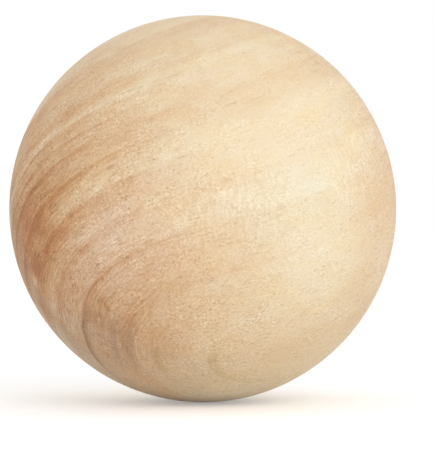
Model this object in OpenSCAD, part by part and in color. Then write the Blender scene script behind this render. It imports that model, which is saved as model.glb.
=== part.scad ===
// Turned wooden ball, solid, in one piece of pale hardwood.
// Millimetres, +Z up, origin at the centre of the ball.

/* [Ball] */
// Diameter of the finished ball
ball_d = 70; // [25:1:120]

/* [Hidden] */
// Facets round the ball in the preview
$fn = 180;

// The blank is turned to a true sphere and sanded. It has no bore, no flat and no foot.
module ball() {
    color("#e2c69f")
        sphere(d = ball_d);
}

ball();
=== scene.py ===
# %% [markdown]
# # A turned wooden ball
# The object is one solid ball of pale hardwood, 70 mm across, turned on a lathe and sanded smooth.
# Nothing is painted on it: every line that shows is a growth ring, a fibre, a pore or a ray of the log
# that the ball was cut from. So the lesson is about one idea. The wood is built as a solid block of log,
# in three dimensions, and the ball is a cut through it. A flat wood picture wrapped round a ball would
# show stretched grain and a seam. A solid block can't, because both ends of a line are cut from one log.

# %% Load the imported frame
import math

import bpy
from mathutils import Matrix, Vector


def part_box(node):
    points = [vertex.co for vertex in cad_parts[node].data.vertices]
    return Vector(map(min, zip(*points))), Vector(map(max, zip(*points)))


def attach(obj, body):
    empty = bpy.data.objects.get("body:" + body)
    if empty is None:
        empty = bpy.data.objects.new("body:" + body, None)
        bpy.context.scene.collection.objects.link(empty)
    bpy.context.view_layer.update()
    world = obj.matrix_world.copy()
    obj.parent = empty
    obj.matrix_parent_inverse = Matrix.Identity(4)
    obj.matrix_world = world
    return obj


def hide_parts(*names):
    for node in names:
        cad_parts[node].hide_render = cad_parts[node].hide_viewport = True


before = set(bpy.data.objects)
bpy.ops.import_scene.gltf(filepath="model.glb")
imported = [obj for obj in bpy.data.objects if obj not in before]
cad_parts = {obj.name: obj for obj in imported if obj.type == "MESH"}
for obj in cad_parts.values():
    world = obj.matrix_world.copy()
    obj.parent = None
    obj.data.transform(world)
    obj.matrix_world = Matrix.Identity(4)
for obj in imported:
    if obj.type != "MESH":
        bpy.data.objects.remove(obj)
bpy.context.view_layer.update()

# %% [markdown]
# ## Sizes
# Blender works in metres here and wood is measured in millimetres, so one name holds the change from
# one to the other. The radius isn't typed in: it is half the smallest side of the CAD ball's own box,
# so that the finished ball never stands out of that box.

# %% Read the ball's size
MM = 0.001
ball_low, ball_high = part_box("ball")
radius = min(ball_high - ball_low) / 2
radius_mm = radius / MM
print(f"the ball is {2 * radius_mm:.2f} mm across")

# %% [markdown]
# ## One helper for nodes
# Materials and Geometry Nodes are both made of nodes. This helper adds a node, sets its own settings,
# and fills or links its sockets. A value that is itself a node or a socket is linked, anything else is
# typed into the socket.

# %% Helper: add a node
def output_of(source):
    """The socket that a link starts from: the socket itself, or a node's first working output."""
    if isinstance(source, bpy.types.NodeSocket):
        return source
    return next(socket for socket in source.outputs if socket.enabled)


def add_node(tree, kind, inputs=None, **settings):
    """Adds one node. inputs is a list in the sockets' order, or a dict by socket name."""
    node = tree.nodes.new(kind)
    for name, value in settings.items():
        setattr(node, name, value)
    sockets = [socket for socket in node.inputs if socket.enabled]
    named = inputs.items() if isinstance(inputs, dict) else enumerate(inputs or [])
    for name, value in named:
        by_name = [socket for socket in sockets if socket.name == name]
        socket = by_name[0] if by_name else sockets[name]
        if isinstance(value, (bpy.types.Node, bpy.types.NodeSocket)):
            tree.links.new(output_of(value), socket)
        else:
            socket.default_value = value
    return node


# %% [markdown]
# ## The log
# A tree grows in sleeves round its pith, the thin core at the centre of the trunk. To say how the ball
# sits in its log takes two things: which way the fibres run, and where the pith passes. Here the fibres
# run from behind on the right to the front left, a little downwards, so one patch of end grain shows at
# the left. The pith passes under the ball at the front, just outside the wood.

# %% Place the ball in its log
FIBRE = Vector((-0.787, -0.544, -0.291)).normalized()
PITH_MM = Vector((24.0, -20.1, -27.4))

PITH_MM -= PITH_MM.dot(FIBRE) * FIBRE
outward = -PITH_MM.normalized()
LOG_TURN = Matrix((outward, FIBRE.cross(outward), FIBRE)).transposed().to_euler()
print(f"the pith passes {PITH_MM.length:.1f} mm from the centre of the ball")
print("the log's turn in degrees:", [round(math.degrees(a), 1) for a in LOG_TURN])

# %% [markdown]
# ## Distance from the pith
# In a perfect log a ring is a circle round the pith, so the distance from the pith says which ring a
# point is in. Real rings lean and flare a little, so the distance gets small corrections. The same
# function serves the mesh and the material, so that a line in the colour is a ridge in the surface.

# %% Sizes of the corrections
LEAN_FROM, LEAN_TO = 32, 47  # mm from the pith: the middle rings lean towards one end of the log
LEAN, MORE_LEAN = 0.016, 0.028  # mm added for each mm along the log, and more in the middle rings
FLARE_FROM, FLARE_TO = 47, 56  # mm from the pith: the outer rings flare out towards the front end
FLARE_STARTS, FLARE_ENDS = 10.5, 35  # mm along the log
FLARE, FLARE_REACHED = -3.15, 0.7  # mm at full flare, and how much of the way there the log gets
WANDERS_PER_MM = (0.07, 0.07, 0.02)  # across, across and along the log
WANDER = 1.6  # mm


# %% Helper: the ring that a point lies in
def ring_distance(tree, place):
    """Millimetres from the pith, counted in rings. place is a point in the log's own frame, in mm."""
    along = add_node(tree, "ShaderNodeSeparateXYZ", [place]).outputs["Z"]
    across = add_node(tree, "ShaderNodeVectorMath", [place, (1, 1, 0)], operation="MULTIPLY")
    straight = add_node(tree, "ShaderNodeVectorMath", [across], operation="LENGTH")
    # The lean is a hump that is highest half way between its two limits
    middle = add_node(tree, "ShaderNodeMapRange", {
        "Value": straight, "From Min": LEAN_FROM, "From Max": LEAN_TO, "To Min": -1, "To Max": 1})
    squared = add_node(tree, "ShaderNodeMath", [middle, middle], operation="MULTIPLY")
    edge = add_node(tree, "ShaderNodeMath", [1.0, squared], operation="SUBTRACT")
    hump = add_node(tree, "ShaderNodeMath", [edge, edge], operation="MULTIPLY")
    slope = add_node(tree, "ShaderNodeMath", [hump, MORE_LEAN, LEAN], operation="MULTIPLY_ADD")
    leaned = add_node(tree, "ShaderNodeMath", [along, slope, straight], operation="MULTIPLY_ADD")
    # The flare grows with the square of the way along
    past = add_node(tree, "ShaderNodeMapRange", {
        "Value": along, "From Min": FLARE_STARTS, "From Max": FLARE_ENDS,
        "To Min": 0, "To Max": FLARE_REACHED})
    outer = add_node(tree, "ShaderNodeMapRange", {
        "Value": straight, "From Min": FLARE_FROM, "From Max": FLARE_TO, "To Min": 0, "To Max": FLARE},
        interpolation_type="SMOOTHSTEP")
    bent = add_node(tree, "ShaderNodeMath", [past, past], operation="MULTIPLY")
    flared = add_node(tree, "ShaderNodeMath", [bent, outer, leaned], operation="MULTIPLY_ADD")
    # No ring is a clean line: each wanders by a few tenths of a millimetre
    slow = add_node(tree, "ShaderNodeVectorMath", [place, WANDERS_PER_MM], operation="MULTIPLY")
    wander = add_node(tree, "ShaderNodeTexNoise", {"Vector": slow, "Scale": 1.0, "Detail": 3.0})
    shift = add_node(tree, "ShaderNodeMath", [wander, 0.5], operation="SUBTRACT")
    return add_node(tree, "ShaderNodeMath", [shift, WANDER, flared], operation="MULTIPLY_ADD")


# %% [markdown]
# ## The growth rings
# Each ring starts with early wood, laid down in the wet season, and ends with denser late wood. The
# late wood is mostly the darker one, but where sap has dried in it can be the other way round. Along the
# fibres this shows only as soft, broad bands. Across the fibres, on end grain, the last cells of a ring
# also show as a thin dark line, because light goes down the open cells and doesn't come back. So each
# ring has two tones for its bands, and a line with a width of its own for the end grain.

# %% List the rings
RINGS = [
    # outer edge in mm from the pith, early tone, late tone, end-grain tone, line at the edge, its width
    (7.9, 0.8, 1.8, 0.0, 0.0, 1.0),
    (12.3, 0.7, -0.1, 0.0, 0.0, 1.0),
    (13.1, 0.1, 0.1, 0.0, 0.0, 1.0),
    (20.2, -0.6, -0.4, 0.0, 0.4, 4.0),
    (22.8, -0.4, -0.5, 0.05, 0.2, 1.2),
    (26.8, 0.6, 0.15, -0.2, -0.5, 2.0),
    (32.2, 0.2, -0.15, -0.5, 0.2, 1.1),
    (36.7, -1.45, -1.5, -0.1, -0.1, 1.0),
    (38.9, -1.0, -0.4, -0.25, -0.35, 1.0),
    (44.4, -1.3, -1.5, -0.3, 0.8, 4.0),
    (46.5, -2.4, -2.1, 0.6, 0.6, 1.0),
    (48.9, -1.5, -0.2, 0.6, 1.05, 1.2),
    (52.3, 0.3, 0.9, -0.1, 0.7, 0.9),
    (54.5, 0.1, 0.3, 0.1, 1.05, 0.9),
    (57.0, -0.35, 0.0, 0.3, 0.85, 0.6),
    (58.5, -1.2, -0.8, -0.1, 0.0, 0.7),
    (61.1, 1.4, 0.9, 0.0, 0.0, 1.0),
    (66.6, 0.5, 3.9, -0.35, 0.0, 1.0),
    (71.2, 1.4, 0.9, 0.0, 0.0, 1.0),
    (72.0, 1.6, 2.6, 0.0, 0.0, 1.0),
    (74.6, -0.4, 2.4, 0.0, 0.0, 1.0),
    (78.0, -0.6, 0.8, 0.0, 0.0, 1.0),
]
print(len(RINGS), "rings")

# %% [markdown]
# Two functions turn the list into bent lines, one for the bands and one for the end grain. The
# innermost and the outermost rings are only cut at a slant, so they have no end-grain line.

# %% Helper: the list as two bent lines
BANDS_START = 5.0  # mm from the pith, a little nearer than the ball comes
BAND_BLUR = 0.45  # mm on each side of a ring's edge
LINED_RINGS = RINGS[3:-5]
LINES_START = 15.0  # mm from the pith
LINE_FOOT, LINE_CREST = 0.2, 0.25  # mm after a ring's edge, and mm before the next one


def band_points():
    """The soft bands as a line: (mm from the pith, tone) at each place where it bends."""
    points, start = [], BANDS_START
    for edge, early, late, *_ in RINGS:
        blur = min(BAND_BLUR, (edge - start) / 4)
        points += [(start + blur, early), (edge - blur, late)]
        start = edge
    return points


def line_points():
    """The end-grain lines in the same way, each ring ending in a sharp step back."""
    points, start = [], LINES_START
    for edge, _, _, ground, line, width in LINED_RINGS:
        points += [(start + LINE_FOOT, ground), (edge - width, ground), (edge - LINE_CREST, line)]
        start = edge
    return points


# %% [markdown]
# A Color Ramp can hold such a line, but it has room for 32 stops and stores 256 steps. So a longer line
# is cut into several ramps. Each stands still outside its own stretch, so they can simply be added.

# %% Helper: a bent line as ramps
PALEST, DARKEST = -2.5, 4.0  # the tones that a ramp's black and white stand for
MOST_STEPS = 30  # in one ramp


def bent_line(tree, value, points):
    """The tone that a line of (value, tone) points has at a value."""
    pieces = math.ceil((len(points) - 1) / MOST_STEPS)
    size = math.ceil((len(points) - 1) / pieces)
    total = points[0][1]
    for first in range(0, len(points) - 1, size):
        part = points[first:first + size + 1]
        low, high = part[0][0], part[-1][0]
        share = add_node(tree, "ShaderNodeMapRange", {"Value": value, "From Min": low, "From Max": high})
        ramp = add_node(tree, "ShaderNodeValToRGB", [share])
        stops = ramp.color_ramp.elements
        for number, (at, tone) in enumerate(part):
            last = number == len(part) - 1
            stop = stops[0] if number == 0 else stops[-1] if last else stops.new((at - low) / (high - low))
            grey = (tone - PALEST) / (DARKEST - PALEST)
            stop.color = (grey, grey, grey, 1)
        climb = add_node(tree, "ShaderNodeMath", [ramp, DARKEST - PALEST, PALEST - part[0][1]],
                         operation="MULTIPLY_ADD")
        total = add_node(tree, "ShaderNodeMath", [climb, total], operation="ADD")
    return total


# %% [markdown]
# ## Marks from the lathe
# The ball was held between two points while it was turned, one at each end of the fibres. The point at
# the front end bruised the grain, and at one side of the bruise a few fibres tore out. A mark is a spot
# in the log's own millimetres, 1 in its middle and 0 at its edge. The chip is in the mesh as well as in
# the colour.

# %% Helper: a spot in the log
BRUISE = (43.9, 1.8, 34.5), (2.1, 3.4, 4.0)
CHIP = (43.6, 6.0, 34.4), (1.1, 1.8, 3.0)
SPOT_CORE = 0.2  # the share of a spot's radius over which it is full


def spot_at(tree, place, centre, size):
    """1 in the middle of an egg-shaped spot and 0 outside it. centre and size are in mm."""
    away = add_node(tree, "ShaderNodeVectorMath", [place, centre], operation="SUBTRACT")
    scaled = add_node(tree, "ShaderNodeVectorMath", [away, size], operation="DIVIDE")
    reach = add_node(tree, "ShaderNodeVectorMath", [scaled], operation="LENGTH")
    return add_node(tree, "ShaderNodeMapRange", {
        "Value": reach, "From Min": SPOT_CORE, "From Max": 1.0, "To Min": 1, "To Max": 0},
        interpolation_type="SMOOTHSTEP")


# %% [markdown]
# ## The ball's mesh
# A turned ball follows one rule, every point at the same distance from the centre, so Geometry Nodes
# make it. A UV sphere would crowd its faces at two poles. A finely cut cube that is blown up to a sphere
# has faces of nearly one size all over. Sanding takes a trace more from the soft early wood than from the
# hard late wood, so the rings stand as very low ridges, a few hundredths of a millimetre. The radius
# is kept at the crest of the ridges, and the hollows go inwards.

# %% Build the Geometry Nodes tree
SIDES = 128  # faces along each edge of the cube: 6 x 128 x 128 x 2 triangles, about 0.43 mm each
HOLLOW_MM, CHIP_MM = 0.04, 0.08  # the softest early wood lies this deep, and the chip this much deeper
ball_tree = bpy.data.node_groups.new("turned_ball", "GeometryNodeTree")
ball_tree.interface.new_socket("Geometry", in_out="OUTPUT", socket_type="NodeSocketGeometry")
ball_inputs = {"Radius": ("NodeSocketFloat", radius), "Sides": ("NodeSocketInt", SIDES),
               "Hollow of the early wood": ("NodeSocketFloat", HOLLOW_MM * MM),
               "Chip": ("NodeSocketFloat", CHIP_MM * MM), "Wood": ("NodeSocketMaterial", None)}
for name, (kind, _) in ball_inputs.items():
    ball_tree.interface.new_socket(name, in_out="INPUT", socket_type=kind)
given = add_node(ball_tree, "NodeGroupInput").outputs

# %% Blow the cube up to a sphere
loops = add_node(ball_tree, "ShaderNodeMath", [given["Sides"], 1.0], operation="ADD")
cube = add_node(ball_tree, "GeometryNodeMeshCube", {
    "Size": (2, 2, 2), "Vertices X": loops, "Vertices Y": loops, "Vertices Z": loops})
on_cube = add_node(ball_tree, "GeometryNodeInputPosition")
angle = add_node(ball_tree, "ShaderNodeVectorMath", [on_cube, (math.pi / 4,) * 3],
                 operation="MULTIPLY")
evened = add_node(ball_tree, "ShaderNodeVectorMath", [angle], operation="TANGENT")
direction = add_node(ball_tree, "ShaderNodeVectorMath", [evened], operation="NORMALIZE")
true_place = add_node(ball_tree, "ShaderNodeVectorMath",
                      {"Vector": direction, "Scale": given["Radius"]}, operation="SCALE")

# %% Press the early wood in
LINE_HARDNESS = 2.0  # an end-grain line counts this many times as much as a band
SOFTEST, HARDEST = -1.7, 1.0  # the tones of wood that is pressed in fully and not at all

from_pith = add_node(ball_tree, "ShaderNodeVectorMath", [true_place, PITH_MM * MM],
                     operation="SUBTRACT")
turned = add_node(ball_tree, "ShaderNodeVectorRotate", {"Vector": from_pith, "Rotation": LOG_TURN},
                  rotation_type="EULER_XYZ", invert=True)
in_log = add_node(ball_tree, "ShaderNodeVectorMath", {"Vector": turned, "Scale": 1 / MM},
                  operation="SCALE")
distance = ring_distance(ball_tree, in_log)
bands = bent_line(ball_tree, distance, band_points())
hardness = add_node(ball_tree, "ShaderNodeMath",
                    [bent_line(ball_tree, distance, line_points()), LINE_HARDNESS, bands],
                    operation="MULTIPLY_ADD")
softness = add_node(ball_tree, "ShaderNodeMapRange", {
    "Value": hardness, "From Min": SOFTEST, "From Max": HARDEST, "To Min": 1, "To Max": 0})
hollow = add_node(ball_tree, "ShaderNodeMath", [softness, given["Hollow of the early wood"]],
                  operation="MULTIPLY")
torn = spot_at(ball_tree, in_log, *CHIP)
hollow = add_node(ball_tree, "ShaderNodeMath", [torn, given["Chip"], hollow],
                  operation="MULTIPLY_ADD")
kept = add_node(ball_tree, "ShaderNodeMath", [given["Radius"], hollow], operation="SUBTRACT")
place = add_node(ball_tree, "ShaderNodeVectorMath", {"Vector": direction, "Scale": kept},
                 operation="SCALE")
moved = add_node(ball_tree, "GeometryNodeSetPosition",
                 {"Geometry": cube.outputs["Mesh"], "Position": place})
smooth = add_node(ball_tree, "GeometryNodeSetShadeSmooth", {"Geometry": moved})
real = add_node(ball_tree, "GeometryNodeRealizeInstances", {"Geometry": smooth})
painted = add_node(ball_tree, "GeometryNodeSetMaterial",
                   {"Geometry": real, "Material": given["Wood"]})
add_node(ball_tree, "NodeGroupOutput", {"Geometry": painted})
print(len(ball_tree.nodes), "nodes make the ball")

# %% [markdown]
# ## The wood's colours
# Light goes a little way into wood and comes back coloured. The deeper it goes through coloured walls,
# the more blue it loses, then green, then red. So the darker places are also redder, and one scale
# of tone can carry both: each step along it is the same wood, seen through a little more of itself.

# %% Helper: hex colours
def linear(hex_colour):
    """An sRGB colour such as #E2C69F as the linear values that Blender calculates with."""
    channels = [int(hex_colour[i:i + 2], 16) / 255 for i in (1, 3, 5)]
    return [c / 12.92 if c <= 0.04045 else ((c + 0.055) / 1.055) ** 2.4 for c in channels] + [1.0]


# %% List the wood's colours
WOOD_TONES = ["#F7F3DD", "#EEE1C3", "#E6D0AC", "#DEBF98", "#D6B085", "#CFA275", "#C89767", "#C18D5A",
              "#BA824E", "#B37944", "#AD6F3B"]
TONE_FIRST, TONE_STEP = -0.25, 0.25

# %% [markdown]
# ## The log inside the material
# The material is worked out in the log's own millimetres. The Mapping node carries each point of the
# surface from the ball into the log. Three measures then say all that the wood needs: how far out a
# point lies, how far round and how far along. The last one also says how much end grain shows: none
# where the surface runs with the fibres, and all of it at the two poles, where the surface cuts
# straight across them.

# %% Place every point in the log
wood = bpy.data.materials.new("sanded_hardwood")
wood.use_nodes = True
shader = wood.node_tree
shader.nodes.clear()
on_ball = add_node(shader, "ShaderNodeTexCoord").outputs["Object"]
in_log = add_node(shader, "ShaderNodeMapping", {
    "Vector": on_ball, "Location": PITH_MM * MM, "Rotation": LOG_TURN, "Scale": (MM,) * 3},
    vector_type="TEXTURE")
distance = ring_distance(shader, in_log)
log_x, log_y, along = add_node(shader, "ShaderNodeSeparateXYZ", [in_log]).outputs
turn = add_node(shader, "ShaderNodeMath", [log_y, log_x], operation="ARCTAN2")
arc = add_node(shader, "ShaderNodeMath", [turn, PITH_MM.length], operation="MULTIPLY")
in_rings = add_node(shader, "ShaderNodeCombineXYZ", [distance, arc, along])
share_along = add_node(shader, "ShaderNodeMath", [along, radius_mm], operation="DIVIDE")
end_grain = add_node(shader, "ShaderNodeMath", [share_along], operation="ABSOLUTE")
squared = add_node(shader, "ShaderNodeMath", [end_grain, end_grain], operation="MULTIPLY")

# %% [markdown]
# ## Ground tone
# Everything from here on adds to one number, the tone: 0 is pale cream wood and 2 a warm brown. It
# starts from the end grain, which is darker than side grain because light sinks into the open ends of
# the cells. The tone climbs slowly over the shoulders and steeply in the last few millimetres.

# %% Lay the ground tone
SIDE_TONE, SHOULDER_TONE, POLE_TONE = 0.26, 0.70, 0.82
SHOULDER_POWER, POLE_POWER = 2.2, 14.0  # the higher the power, the later and the steeper the climb

shoulder = add_node(shader, "ShaderNodeMath", [end_grain, SHOULDER_POWER], operation="POWER")
at_pole = add_node(shader, "ShaderNodeMath", [end_grain, POLE_POWER], operation="POWER")
tone = add_node(shader, "ShaderNodeMath", [shoulder, SHOULDER_TONE, SIDE_TONE], operation="MULTIPLY_ADD")
tone = add_node(shader, "ShaderNodeMath", [at_pole, POLE_TONE, tone], operation="MULTIPLY_ADD")

# %% [markdown]
# ## Noise with a size in millimetres
# Wood is never even, so each pattern below is made from noise or broken up by it. The size of its
# grains is given as three numbers, across, round and along the log. One function then makes round
# specks, long streaks or sheets that follow the rings, each from the size of the real thing.

# %% Helper: grain
def grain_noise(tree, place, size, octaves=2.0, rough=0.5):
    """Noise from about -0.5 to 0.5 with grains of a given size in mm."""
    scaled = add_node(tree, "ShaderNodeVectorMath", [place, size], operation="DIVIDE")
    noise = add_node(tree, "ShaderNodeTexNoise", {
        "Vector": scaled, "Scale": 1.0, "Detail": octaves, "Roughness": rough})
    return add_node(tree, "ShaderNodeMath", [noise, 0.5], operation="SUBTRACT")


def patchiness(tree, place, size, strength, octaves=2.0):
    """A factor of about 1 that comes and goes in patches of a given size in mm."""
    patches = grain_noise(tree, place, size, octaves)
    return add_node(tree, "ShaderNodeMath", [patches, strength, 1.0], operation="MULTIPLY_ADD")


# %% [markdown]
# ## Bands and lines
# The rings go on the ground. On side grain they stay weak, because the surface runs along them and
# the tone changes slowly. Towards the end grain they gain strength, and there the thin dark lines come
# in too. No ring is equally dark all the way round, so the lines fade in and out.

# %% Add the bands and the lines
SIDE_BAND, POLE_BAND = 0.062, 0.36
BAND_POWER, LINE_POWER = 4.0, 5.0
UNEVEN_SIZE, UNEVEN = (4.0, 4.0, 7.0), 2.4  # mm across, across and along the log, and how strongly

bands = bent_line(shader, distance, band_points())
steep = add_node(shader, "ShaderNodeMath", [end_grain, BAND_POWER], operation="POWER")
strength = add_node(shader, "ShaderNodeMath", [steep, POLE_BAND, SIDE_BAND], operation="MULTIPLY_ADD")
tone = add_node(shader, "ShaderNodeMath", [bands, strength, tone], operation="MULTIPLY_ADD")

lines = bent_line(shader, distance, line_points())
uneven = patchiness(shader, in_log, UNEVEN_SIZE, UNEVEN)
lines = add_node(shader, "ShaderNodeMath", [lines, uneven], operation="MULTIPLY")
open_ends = add_node(shader, "ShaderNodeMath", [end_grain, LINE_POWER], operation="POWER")
tone = add_node(shader, "ShaderNodeMath", [lines, open_ends, tone], operation="MULTIPLY_ADD")

# %% [markdown]
# ## Fine grain
# Close up, this wood is a felt of fibres 0.02 to 0.05 mm wide. That is too fine to show at this
# distance, so the grain is drawn five to ten times coarser, as the speckle that the eye makes of it. It
# is a little longer along the log than across, and it comes and goes in patches of a few millimetres.

# %% Fine grain
FINE_GRAIN = [
    # size across and along in mm, octaves, share
    (0.36, 0.52, 2.0, 0.55),
    (0.16, 0.20, 1.0, 0.50),
]
FINE_PATCH, FINE_PATCHY = (3.0, 3.0, 5.0), 2.2  # the size of a patch in mm, and how much patches differ

fine = 0.0
for across, lengthwise, octaves, share in FINE_GRAIN:
    grain = grain_noise(shader, in_log, (across, across, lengthwise), octaves)
    fine = add_node(shader, "ShaderNodeMath", [grain, share, fine], operation="MULTIPLY_ADD")
patchy = patchiness(shader, in_log, FINE_PATCH, FINE_PATCHY, 1.0)
fine = add_node(shader, "ShaderNodeMath", [fine, patchy], operation="MULTIPLY")

# %% [markdown]
# ## Thin lines between the rings
# Inside each ring lie thinner layers of denser cells, about 0.4 mm apart. On end grain they show as
# fine curved lines, side by side. The noise for them is made in ring measure, so it bends with the rings.

# %% Layers inside a ring
LAYER_SIZE = (0.42, 3.0, 7.0)  # mm outwards, round and along the log
LAYER_PATCH, LAYER_PATCHY = (2.5, 2.5, 6.0), 2.5
LAYERS_SIDE, LAYERS_END = 0.05, 0.47  # the share on side grain, and what end grain adds to it

layers = grain_noise(shader, in_rings, LAYER_SIZE, 2.0, 0.6)
patchy = patchiness(shader, in_log, LAYER_PATCH, LAYER_PATCHY)
layers = add_node(shader, "ShaderNodeMath", [layers, patchy], operation="MULTIPLY")
layer_share = add_node(shader, "ShaderNodeMath", [squared, LAYERS_END, LAYERS_SIDE],
                       operation="MULTIPLY_ADD")
fine = add_node(shader, "ShaderNodeMath", [layers, layer_share, fine], operation="MULTIPLY_ADD")

# %% [markdown]
# ## Vessel lines
# Vessels are the tree's water pipes, 0.1 to 0.2 mm wide. Cut lengthwise they leave short dark grooves,
# drawn here about twice as wide so that they show. Only the peaks of the noise are kept, which leaves
# separate strokes, and a second, slower noise leaves whole patches free of them.

# %% Vessel lines
GROOVE_SIZE, GROOVE_PATCH = (0.36, 2.2, 5.0), (2.5, 2.5, 6.0)  # mm
GROOVE_STARTS, GROOVE_FULL = 0.07, 0.20  # levels of the noise
PATCH_STARTS, PATCH_FULL = -0.12, 0.20
GROOVES_SIDE, GROOVES_END = 0.16, 0.12

grooves = grain_noise(shader, in_rings, GROOVE_SIZE, 1.0)
grooves = add_node(shader, "ShaderNodeMapRange", {
    "Value": grooves, "From Min": GROOVE_STARTS, "From Max": GROOVE_FULL})
patches = grain_noise(shader, in_log, GROOVE_PATCH, 1.0)
patchy = add_node(shader, "ShaderNodeMapRange", {
    "Value": patches, "From Min": PATCH_STARTS, "From Max": PATCH_FULL})
grooves = add_node(shader, "ShaderNodeMath", [grooves, patchy], operation="MULTIPLY")
groove_share = add_node(shader, "ShaderNodeMath", [squared, GROOVES_END, GROOVES_SIDE],
                        operation="MULTIPLY_ADD")
fine = add_node(shader, "ShaderNodeMath", [grooves, groove_share, fine], operation="MULTIPLY_ADD")

# %% [markdown]
# ## Tissue bands
# Thin sheets of soft pale cells lie between the vessels, one or two to a millimetre, and much more
# evenly than anything else in the wood. So these are a wave, not noise: a sine of the distance from the
# pith, pushed about a little so that the lines waver. They show best inside the stain further down.

# %% Tissue bands
TISSUE_GAP = 0.66  # mm
TISSUE_POWER = 8.0
WAVER_SIZE, WAVER = (3.0, 3.0, 8.0), 5.0  # mm, and radians of the wave
STAIN_EDGE = 32.1  # mm from the pith
FADE_INSIDE, FADE_OUTSIDE = 0.6, 0.9  # mm on each side of the stain's edge
TISSUE_IN_STAIN, TISSUE_OUTSIDE = 0.10, 0.025

waver = grain_noise(shader, in_log, WAVER_SIZE, 1.0)
waver = add_node(shader, "ShaderNodeMath", [waver, WAVER], operation="MULTIPLY")
phase = add_node(shader, "ShaderNodeMath", [distance, 2 * math.pi / TISSUE_GAP, waver],
                 operation="MULTIPLY_ADD")
tissue = add_node(shader, "ShaderNodeMath", [phase], operation="SINE")
open_cells = add_node(shader, "ShaderNodeMath", [end_grain, TISSUE_POWER], operation="POWER")
tissue = add_node(shader, "ShaderNodeMath", [tissue, open_cells], operation="MULTIPLY")
tissue = add_node(shader, "ShaderNodeMath", [tissue, uneven], operation="MULTIPLY")
tissue_share = add_node(shader, "ShaderNodeMapRange", {
    "Value": distance, "From Min": STAIN_EDGE - FADE_INSIDE, "From Max": STAIN_EDGE + FADE_OUTSIDE,
    "To Min": TISSUE_IN_STAIN, "To Max": TISSUE_OUTSIDE})
fine = add_node(shader, "ShaderNodeMath", [tissue, tissue_share, fine], operation="MULTIPLY_ADD")

# %% [markdown]
# ## Pores
# Where a vessel is cut across or at a slant it leaves a pore. In this kind of wood they lie scattered
# all through the ring. A Voronoi texture puts one point in each cell, and the cell's own random colour
# says how dark its pore is. The power keeps most of them faint. They are drawn about 0.3 mm wide, twice
# their real size, so that they show.

# %% Pores
PORE_GAP = (0.75, 0.75, 1.8)  # mm across, across and along the log
PORE_FLOOR, PORE_RIM = 0.10, 0.30  # shares of a gap
PORE_POWER = 2.5  # the higher the power, the fewer pores are dark
PORE_SHARE = 0.34

in_cells = add_node(shader, "ShaderNodeVectorMath", [in_log, PORE_GAP], operation="DIVIDE")
cells = add_node(shader, "ShaderNodeTexVoronoi", {"Vector": in_cells, "Scale": 1.0}, feature="F1")
depth = add_node(shader, "ShaderNodeSeparateColor", [cells.outputs["Color"]]).outputs["Red"]
depth = add_node(shader, "ShaderNodeMath", [depth, PORE_POWER], operation="POWER")
pores = add_node(shader, "ShaderNodeMapRange", {
    "Value": cells.outputs["Distance"], "From Min": PORE_FLOOR, "From Max": PORE_RIM,
    "To Min": 1, "To Max": 0})
pores = add_node(shader, "ShaderNodeMath", [pores, depth], operation="MULTIPLY")
fine = add_node(shader, "ShaderNodeMath", [pores, PORE_SHARE, fine], operation="MULTIPLY_ADD")

# %% [markdown]
# ## Ray flecks
# Rays run outwards from the pith like spokes. Where the surface runs along them they show as small
# dashes across the grain. That happens only on one belt of the ball, so the flecks are faded in and
# out by distance and by end grain. A window does this: a measure, the value where it starts to open and
# the value where it is fully open. The second value can also be the lower one. Real rays are under
# 0.1 mm thick, so they are drawn coarse.

# %% Helper: windows
def through_windows(tree, amount, windows):
    """An amount that fades to 0 wherever one of the windows is shut."""
    for value, start, end in windows:
        window = add_node(tree, "ShaderNodeMapRange", {
            "Value": value, "From Min": start, "From Max": end}, interpolation_type="SMOOTHSTEP")
        amount = add_node(tree, "ShaderNodeMath", [window, amount], operation="MULTIPLY")
    return amount


# %% Ray flecks
FLECK_WINDOWS = [(distance, 26, 30), (distance, 42, 37), (end_grain, 0.75, 0.60), (end_grain, 0.05, 0.15)]
FLECK_SIZE = (2.2, 0.8, 0.62)  # mm outwards, round and along the log
FLECK_SHARE = 0.38

flecks = through_windows(shader, grain_noise(shader, in_rings, FLECK_SIZE, 1.0), FLECK_WINDOWS)
fine = add_node(shader, "ShaderNodeMath", [flecks, FLECK_SHARE, fine], operation="MULTIPLY_ADD")

# %% [markdown]
# ## How much the fine grain shows
# End grain is the busiest, and more so in the outer rings. Side grain is calmer, most of all far from
# the pith, where the surface cuts the rings at a flat angle.

# %% Strength of the fine grain
FINE_SIDE, FINE_POLE = 0.73, 1.25
FINE_TONE = 0.60
BUSY_FROM, BUSY_TO, BUSIER = 30, 60, 2.2  # mm from the pith, and how many times as strong out there
CALM_FROM, CALM_TO = 15, 45  # mm from the pith
NEAR_SIDE, FAR_SIDE = 1.7, 0.85  # side grain near the pith and far from it

outwards = add_node(shader, "ShaderNodeMapRange", {
    "Value": distance, "From Min": BUSY_FROM, "From Max": BUSY_TO,
    "To Min": FINE_POLE, "To Max": BUSIER * FINE_POLE})
calmer = add_node(shader, "ShaderNodeMapRange", {
    "Value": distance, "From Min": CALM_FROM, "From Max": CALM_TO,
    "To Min": NEAR_SIDE * FINE_SIDE, "To Max": FAR_SIDE * FINE_SIDE})
strength = add_node(shader, "ShaderNodeMath", [squared, outwards, calmer], operation="MULTIPLY_ADD")
fine = add_node(shader, "ShaderNodeMath", [fine, strength], operation="MULTIPLY")
tone = add_node(shader, "ShaderNodeMath", [fine, FINE_TONE, tone], operation="MULTIPLY_ADD")

# %% [markdown]
# ## Broad figure
# Between the fine grain and the rings lies a cloudy figure: streaks one to four millimetres wide and
# two to seven times as long, where the tree grew a little faster or stored a little more. It is
# strongest in the outer rings. Near the pith, ring measure would squeeze the streaks together, because
# a turn round the log is shorter there, so they are made straight in the log instead.

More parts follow.
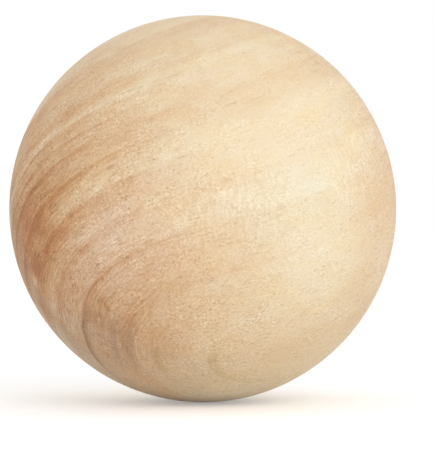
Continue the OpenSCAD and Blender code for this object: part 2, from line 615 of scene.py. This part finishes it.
# %% Broad figure
FIGURE = [
    # place, size in mm, octaves, share
    (in_rings, (1.5, 2.2, 3.2), 3.0, 0.66),
    (in_rings, (3.6, 9.0, 18.0), 1.0, 0.34),
]
STREAK_SIZE, STREAK_SHARE = (2.4, 2.4, 18.0), 0.75
STREAKS_START, STREAKS_FULL = 25, 12  # mm from the pith
INNER_FIGURE, OUTER_FIGURE = 0.66, 1.80
OUTER_FROM, OUTER_TO = 42, 58  # mm from the pith
FIGURE_SIDE, FIGURE_END = 0.28, 0.66  # the strength on side grain, and what end grain adds to it

figure = 0.0
for place, size, octaves, share in FIGURE:
    grain = grain_noise(shader, place, size, octaves)
    figure = add_node(shader, "ShaderNodeMath", [grain, share, figure], operation="MULTIPLY_ADD")
near_pith = add_node(shader, "ShaderNodeMapRange", {
    "Value": distance, "From Min": STREAKS_START, "From Max": STREAKS_FULL, "To Max": STREAK_SHARE})
streaks = grain_noise(shader, in_log, STREAK_SIZE)
figure = add_node(shader, "ShaderNodeMath", [streaks, near_pith, figure], operation="MULTIPLY_ADD")
outer = add_node(shader, "ShaderNodeMapRange", {
    "Value": distance, "From Min": OUTER_FROM, "From Max": OUTER_TO,
    "To Min": INNER_FIGURE, "To Max": OUTER_FIGURE})
figure = add_node(shader, "ShaderNodeMath", [figure, outer], operation="MULTIPLY")
figure_strength = add_node(shader, "ShaderNodeMath", [squared, FIGURE_END, FIGURE_SIDE],
                           operation="MULTIPLY_ADD")
tone = add_node(shader, "ShaderNodeMath", [figure, figure_strength, tone], operation="MULTIPLY_ADD")

# %% [markdown]
# ## Marks and patches
# Now the two lathe marks, and places where this one log is a little darker or paler than its rings
# alone would make it. Three spots are painted light and shade instead: a paler one on the upper left
# edge, a darker one low in the middle, and, in part, a paler one at the bottom. Each is an egg-shaped
# spot in the log with a tone to add.

# %% Marks, patches and painted light
PATCHES_AND_PAINTED_LIGHT = [
    # centre in the log and size in mm, tone
    # the bruise, the two darkest streaks in it, and the chip
    (BRUISE, 0.55),
    (((44.7, 0.2, 34.9), (0.6, 2.4, 4.0)), 0.55),
    (((43.6, 3.4, 34.8), (0.6, 1.9, 4.0)), 0.55),
    (CHIP, -0.15),
    # two short dark strokes on the end grain
    (((28.4, -2.9, 32.1), (1.3, 2.0, 4.0)), 0.28),
    (((23.4, -2.6, 29.6), (1.6, 2.4, 4.0)), 0.28),
    # darker places, from the bark inwards
    (((48.8, -4.2, 33.7), (5.5, 7.0, 8.0)), 0.34),
    (((44.0, -6.5, 34.5), (5.0, 5.0, 8.0)), 0.25),
    (((43.5, 1.0, 34.9), (4.0, 6.0, 8.0)), 0.30),
    (((41.0, 11.5, 33.0), (4.5, 4.5, 6.0)), 0.30),
    (((35.0, -19.0, 28.0), (6.0, 7.0, 10.0)), 0.12),
    (((31.0, 12.0, 31.0), (3.5, 5.0, 6.0)), 0.22),
    (((32.0, -33.5, 4.0), (6.0, 7.0, 8.0)), 0.08),
    (((27.0, -16.0, 27.0), (6.0, 7.0, 8.0)), 0.08),
    # painted shade: the next spot darkens the lower middle of the ball, in place of shade there
    (((18.5, 0.0, 26.0), (6.0, 7.0, 9.0)), 0.14),
    (((14.5, -19.0, -11.0), (9.0, 9.0, 11.0)), 0.10),
    (((9.0, -10.0, -8.0), (7.0, 8.0, 9.0)), 0.09),
    (((8.0, -1.0, -11.5), (5.0, 6.0, 7.0)), 0.12),
    # paler places, from the bark inwards
    # painted light: the next spot makes the upper left edge of the ball paler, in place of light there
    (((67.0, -11.0, 21.0), (6.0, 8.0, 9.0)), -0.20),
    (((60.5, -19.5, 22.0), (4.0, 8.0, 9.0)), -0.15),
    (((48.0, -25.0, -25.0), (12.0, 9.0, 9.0)), -0.18),
    (((43.5, -19.0, 29.0), (4.0, 8.0, 8.0)), -0.14),
    (((33.5, -14.0, 31.0), (5.0, 8.0, 10.0)), -0.06),
    (((25.5, -28.0, -12.5), (4.0, 5.0, 5.0)), -0.12),
    (((15.0, -22.0, 0.0), (14.0, 20.0, 18.0)), -0.12),
    # the next spot is partly paler wood and partly painted light, which lifts the floor's contact shadow at
    # the bottom
    (((14.0, 14.0, 14.0), (7.0, 8.0, 14.0)), -0.15),
]
for (centre, size), change in PATCHES_AND_PAINTED_LIGHT:
    spot = spot_at(shader, in_log, centre, size)
    tone = add_node(shader, "ShaderNodeMath", [spot, change, tone], operation="MULTIPLY_ADD")
print(len(PATCHES_AND_PAINTED_LIGHT), "marks and patches")

# %% [markdown]
# ## From tone to colour
# The tone is finished. A Color Ramp with one stop for each wood colour turns it into paint.

# %% Tone to colour
last_tone = TONE_FIRST + TONE_STEP * (len(WOOD_TONES) - 1)
level = add_node(shader, "ShaderNodeMapRange", {
    "Value": tone, "From Min": TONE_FIRST, "From Max": last_tone})
colour = add_node(shader, "ShaderNodeValToRGB", [level])
stops = colour.color_ramp.elements
stops[0].color = linear(WOOD_TONES[0])
stops[1].color = linear(WOOD_TONES[-1])
for number, tone_colour in enumerate(WOOD_TONES[1:-1], 1):
    stops.new(number / (len(WOOD_TONES) - 1)).color = linear(tone_colour)

# %% [markdown]
# ## Straw and pink
# Two places of the same tone can still differ in hue. Where more sap dried in, the wood is yellower,
# like straw, and elsewhere it is a little pinker. The two hues drift into each other in soft clouds
# that follow the rings.

# %% Straw and pink
PINKER, STRAW = (1.0, 1.03, 1.12, 1), (1.0, 0.97, 0.88, 1)
SAP_SIZE, SAP_SPAN = (3.6, 5.5, 9.0), 0.25  # mm, and the level of the noise where the hue is full

sap = grain_noise(shader, in_rings, SAP_SIZE, 4.0, 0.62)
sap = add_node(shader, "ShaderNodeMapRange", {"Value": sap, "From Min": -SAP_SPAN, "From Max": SAP_SPAN})
hue = add_node(shader, "ShaderNodeMix", {"Factor": sap, "A": PINKER, "B": STRAW}, data_type="RGBA")
colour = add_node(shader, "ShaderNodeMix", {"Factor": 1.0, "A": colour, "B": hue},
                  data_type="RGBA", blend_type="MULTIPLY")

# %% [markdown]
# ## Stains and painted shade
# A few parts of the log took up colour of another kind. The clearest is a mineral stain, a grey-brown
# that comes from soil minerals in the sap. It stops dead at one growth ring, so its edge is a sharp
# line, while its ends fade away. Two grey tints are painted shade, not stain: they darken the lower
# left of the ball, the side turned from the light. A tint multiplies the colour, and windows say where
# it holds.

# %% Stains and painted shade
SIDE_SLANT = 0.53  # mm outwards for each mm sideways, in the direction of the darker side
STAIN_BLUR = 0.3  # mm

# the side of the log that the painted shade darkens, the lower left of the ball
painted_shade_side = add_node(shader, "ShaderNodeMath", [log_x, SIDE_SLANT, log_y], operation="MULTIPLY_ADD")
in_stain = [(along, 24, 30), (distance, STAIN_EDGE + STAIN_BLUR, STAIN_EDGE)]
TINTS_AND_PAINTED_SHADE = [
    # what each tint multiplies red, green and blue by, and its windows
    # painted shade: a grey darkening on one side of the log, towards the bark, on the lower left of the ball
    ((0.84, 0.845, 0.85), [(painted_shade_side, 24.5, 32.0), (along, 14, 23), (distance, 66, 56)]),
    # less red close to the pith, and in the palest side grain
    ((0.955, 0.975, 1.0), [(along, 14, 20), (distance, 24, 20), (arc, -2, 6)]),
    ((0.965, 0.985, 1.0), [(distance, 24, 29), (distance, 40, 35), (along, -7, 0), (along, 16, 9),
                           (arc, -28, -36)]),
    # the inner end grain, greyer, and then its pinker part
    ((0.955, 0.925, 0.94), [(end_grain, 0.62, 0.92), (distance, 46, 38)]),
    ((1.0, 0.975, 0.995), [(end_grain, 0.45, 0.75), (distance, 48, 40), (distance, 22, 30), (arc, -2, -10)]),
    # painted shade: a grey darkening just outside the stain, on the lower left of the ball
    ((0.88, 0.88, 0.89), [(along, 28, 32), (distance, 44, 36), (distance, 32, 33), (arc, 0, 9)]),
    # a thin olive line in the young wood
    ((0.92, 0.93, 0.87), [(along, 8, 12), (distance, 12.0, 12.4), (distance, 13.5, 13.0), (arc, -10, -4),
                          (arc, 40, 28)]),
    # two thin lines further in
    ((0.90, 0.89, 0.89), [(along, 25, 29), (distance, 25.5, 25.9), (distance, 26.6, 26.2), (arc, 0, 5),
                          (arc, 20, 15)]),
    ((0.90, 0.91, 0.85), [(along, 20, 24), (distance, 18.6, 19.1), (distance, 20.0, 19.5), (arc, 1, 6),
                          (arc, 21, 15)]),
    # the mineral stain, the thin line along its edge, and its three darkest rings
    ((0.87, 0.87, 0.895), in_stain + [(distance, 22, 23), (arc, -8, 2), (arc, 27, 15)]),
    ((0.90, 0.89, 0.90), [(along, 24, 30), (distance, 31.5, 31.9), (distance, 32.5, 32.2), (arc, 2, 8)]),
    ((0.80, 0.80, 0.82), in_stain + [(distance, 30.2, 32.0), (arc, -3, 5), (arc, 27, 17)]),
    ((0.90, 0.89, 0.90), in_stain + [(distance, 27.3, 26.8), (distance, 24.8, 26.6), (arc, -6, 4),
                                     (arc, 27, 17)]),
    ((0.87, 0.86, 0.87), in_stain + [(distance, 24.8, 24.0), (distance, 22.4, 23.2), (arc, -8, 4),
                                     (arc, 27, 17)]),
]
for tint, windows in TINTS_AND_PAINTED_SHADE:
    amount = through_windows(shader, 1.0, windows)
    colour = add_node(shader, "ShaderNodeMix", {"Factor": amount, "A": colour, "B": (*tint, 1)},
                      data_type="RGBA", blend_type="MULTIPLY")

# %% [markdown]
# ## Shade in the fine grain
# Pores and grooves are darker than their tone alone, because they lie in their own shadow. So the fine
# grain dims the finished colour a little, without changing its hue.

# %% Shade in the fine grain
FINE_SHADE = 0.32

shade = add_node(shader, "ShaderNodeMath", [fine, -FINE_SHADE, 1.0], operation="MULTIPLY_ADD")
colour = add_node(shader, "ShaderNodeVectorMath", {"Vector": colour, "Scale": shade}, operation="SCALE")

# %% [markdown]
# ## The sanded surface
# The wood is pale plantation hardwood, sanded to about 240 grit and left bare. Sanding scratches are
# too fine to see one by one, and together they spread the shine into a soft satin sheen. Cellulose
# bends light much as other plant matter does, so the IOR is 1.5. The fine grain also stands in a
# relief of 0.005 mm, about what fingers can just feel, and dark fibres lie lower than pale ones.

# %% Sanded surface
BUMP_MM = 0.005
SATIN, CELLULOSE_IOR = 0.55, 1.5

relief = add_node(shader, "ShaderNodeBump", {"Height": fine, "Distance": BUMP_MM * MM}, invert=True)
surface = add_node(shader, "ShaderNodeBsdfPrincipled", {
    "Base Color": colour, "Roughness": SATIN, "IOR": CELLULOSE_IOR, "Normal": relief})
add_node(shader, "ShaderNodeOutputMaterial", {"Surface": surface})
print(len(shader.nodes), "nodes make the wood")

# %% [markdown]
# ## From modifier to mesh
# The Geometry Nodes tree needs an object to run on. An empty mesh carries it as a modifier, each input
# is set by its socket's identifier, and the evaluated result is copied into a plain mesh. The helper
# object then goes, so the ball that stays has no modifier, and its place is in its mesh.

# %% Make the ball
blank = bpy.data.meshes.new("blank")
lathe = bpy.data.objects.new("lathe", blank)
bpy.context.scene.collection.objects.link(lathe)
turning = lathe.modifiers.new("turned_ball", "NODES")
turning.node_group = ball_tree
values = {name: value for name, (_, value) in ball_inputs.items()} | {"Wood": wood}
for item in ball_tree.interface.items_tree:
    if item.in_out == "INPUT":
        turning[item.identifier] = values[item.name]
turned_ball = lathe.evaluated_get(bpy.context.evaluated_depsgraph_get())
ball_mesh = bpy.data.meshes.new_from_object(turned_ball)
ball_mesh.name = "wooden_ball"
bpy.data.objects.remove(lathe)
ball = bpy.data.objects.new("wooden_ball", ball_mesh)
bpy.context.scene.collection.objects.link(ball)
depths = [(radius - vertex.co.length) / MM for vertex in ball_mesh.vertices]
print(f"{len(ball_mesh.polygons)} faces, relief from {min(depths):.3f} to {max(depths):.3f} mm deep")

# %% [markdown]
# ## Floor and studio
# The ball stands in a plain pale studio: a sheet of matt white paper below it and an even white light
# all round. Both look a little brighter to the camera than the light that they throw on the ball, so
# the paper reads as white while the wood keeps its own colour. Rays that pass by way of gloss or glass
# see the same bright paper as the camera does.

# %% Helper: what a ray sees
def seen_directly(tree):
    """1 for rays from the camera, from gloss and through glass, 0 for the light on a matt surface."""
    rays = add_node(tree, "ShaderNodeLightPath").outputs
    camera_or_gloss = add_node(tree, "ShaderNodeMath", [rays["Is Camera Ray"], rays["Is Glossy Ray"]],
                               operation="MAXIMUM")
    return add_node(tree, "ShaderNodeMath", [camera_or_gloss, rays["Is Transmission Ray"]],
                    operation="MAXIMUM")


# %% Lay the paper
REACH = 3.0  # metres from the ball to the middle of each edge
PAPER_WHITE = "#F3F3F3"
PAPER_GLOW = 0.3

floor_mesh = bpy.data.meshes.new("floor")
corners = [(-REACH, -REACH), (REACH, -REACH), (REACH, REACH), (-REACH, REACH)]
floor_mesh.from_pydata([(x, y, ball_low.z) for x, y in corners], [], [(0, 1, 2, 3)])
floor = bpy.data.objects.new("floor", floor_mesh)
bpy.context.scene.collection.objects.link(floor)

paper = bpy.data.materials.new("matt_white_paper")
paper.use_nodes = True
sheet = paper.node_tree
sheet.nodes.clear()
matt = add_node(sheet, "ShaderNodeBsdfDiffuse", {"Color": linear(PAPER_WHITE)})
glow = add_node(sheet, "ShaderNodeEmission", {"Strength": PAPER_GLOW})
bright = add_node(sheet, "ShaderNodeAddShader", [matt, glow])
both = add_node(sheet, "ShaderNodeMixShader", [seen_directly(sheet), matt, bright])
add_node(sheet, "ShaderNodeOutputMaterial", {"Surface": both})
floor_mesh.materials.append(paper)

# %% Light all round
SOFT_LIGHT, WHITE = 0.80, 1.0

world = bpy.data.worlds.new("studio")
bpy.context.scene.world = world
world.use_nodes = True
studio = world.node_tree
studio.nodes.clear()
brightness = add_node(studio, "ShaderNodeMapRange", {
    "Value": seen_directly(studio), "To Min": SOFT_LIGHT, "To Max": WHITE})
sky = add_node(studio, "ShaderNodeBackground", {"Color": linear("#FFFFFF"), "Strength": brightness})
add_node(studio, "ShaderNodeOutputWorld", {"Surface": sky})

# %% [markdown]
# ## The softbox
# Even light alone would make the ball look flat. One large softbox at the front right, above the
# ball, gives it a bright side and a shaded side with no hard edge between them.

# %% Hang the softbox
SOFTBOX_FROM = Vector((0.46, -0.82, 0.33)).normalized()
SOFTBOX_AWAY, SOFTBOX_SIDE = 1.0, 0.8  # metres
SOFTBOX_WATTS = 3.8

softbox_light = bpy.data.lights.new("softbox", "AREA")
softbox_light.size = SOFTBOX_SIDE
softbox_light.energy = SOFTBOX_WATTS
softbox = bpy.data.objects.new("softbox", softbox_light)
softbox.location = SOFTBOX_FROM * SOFTBOX_AWAY
softbox.rotation_euler = SOFTBOX_FROM.to_track_quat("Z", "Y").to_euler()
bpy.context.scene.collection.objects.link(softbox)

# %% [markdown]
# ## The camera
# A long lens, level with the middle of the ball and well back, keeps the outline round. A wide lens
# from close by would show less of the sides. The camera is turned by less than a degree, which sets the
# ball a little left of the middle and a little high.

# %% Set the camera
BACK = 12 * radius
DOWN, RIGHT = math.radians(0.717), math.radians(0.350)
LENS_MM, SENSOR_MM = 175, 36

camera_lens = bpy.data.cameras.new("camera")
camera_lens.lens = LENS_MM
camera_lens.sensor_width = SENSOR_MM
camera = bpy.data.objects.new("camera", camera_lens)
camera.location = (0, -BACK, 0)
camera.rotation_euler = (math.pi / 2 - DOWN, 0, -RIGHT)
bpy.context.scene.collection.objects.link(camera)
bpy.context.scene.camera = camera
bpy.context.scene.view_settings.view_transform = "Standard"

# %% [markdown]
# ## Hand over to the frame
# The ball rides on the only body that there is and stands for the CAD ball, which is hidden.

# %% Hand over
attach(ball, "root")
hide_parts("ball")
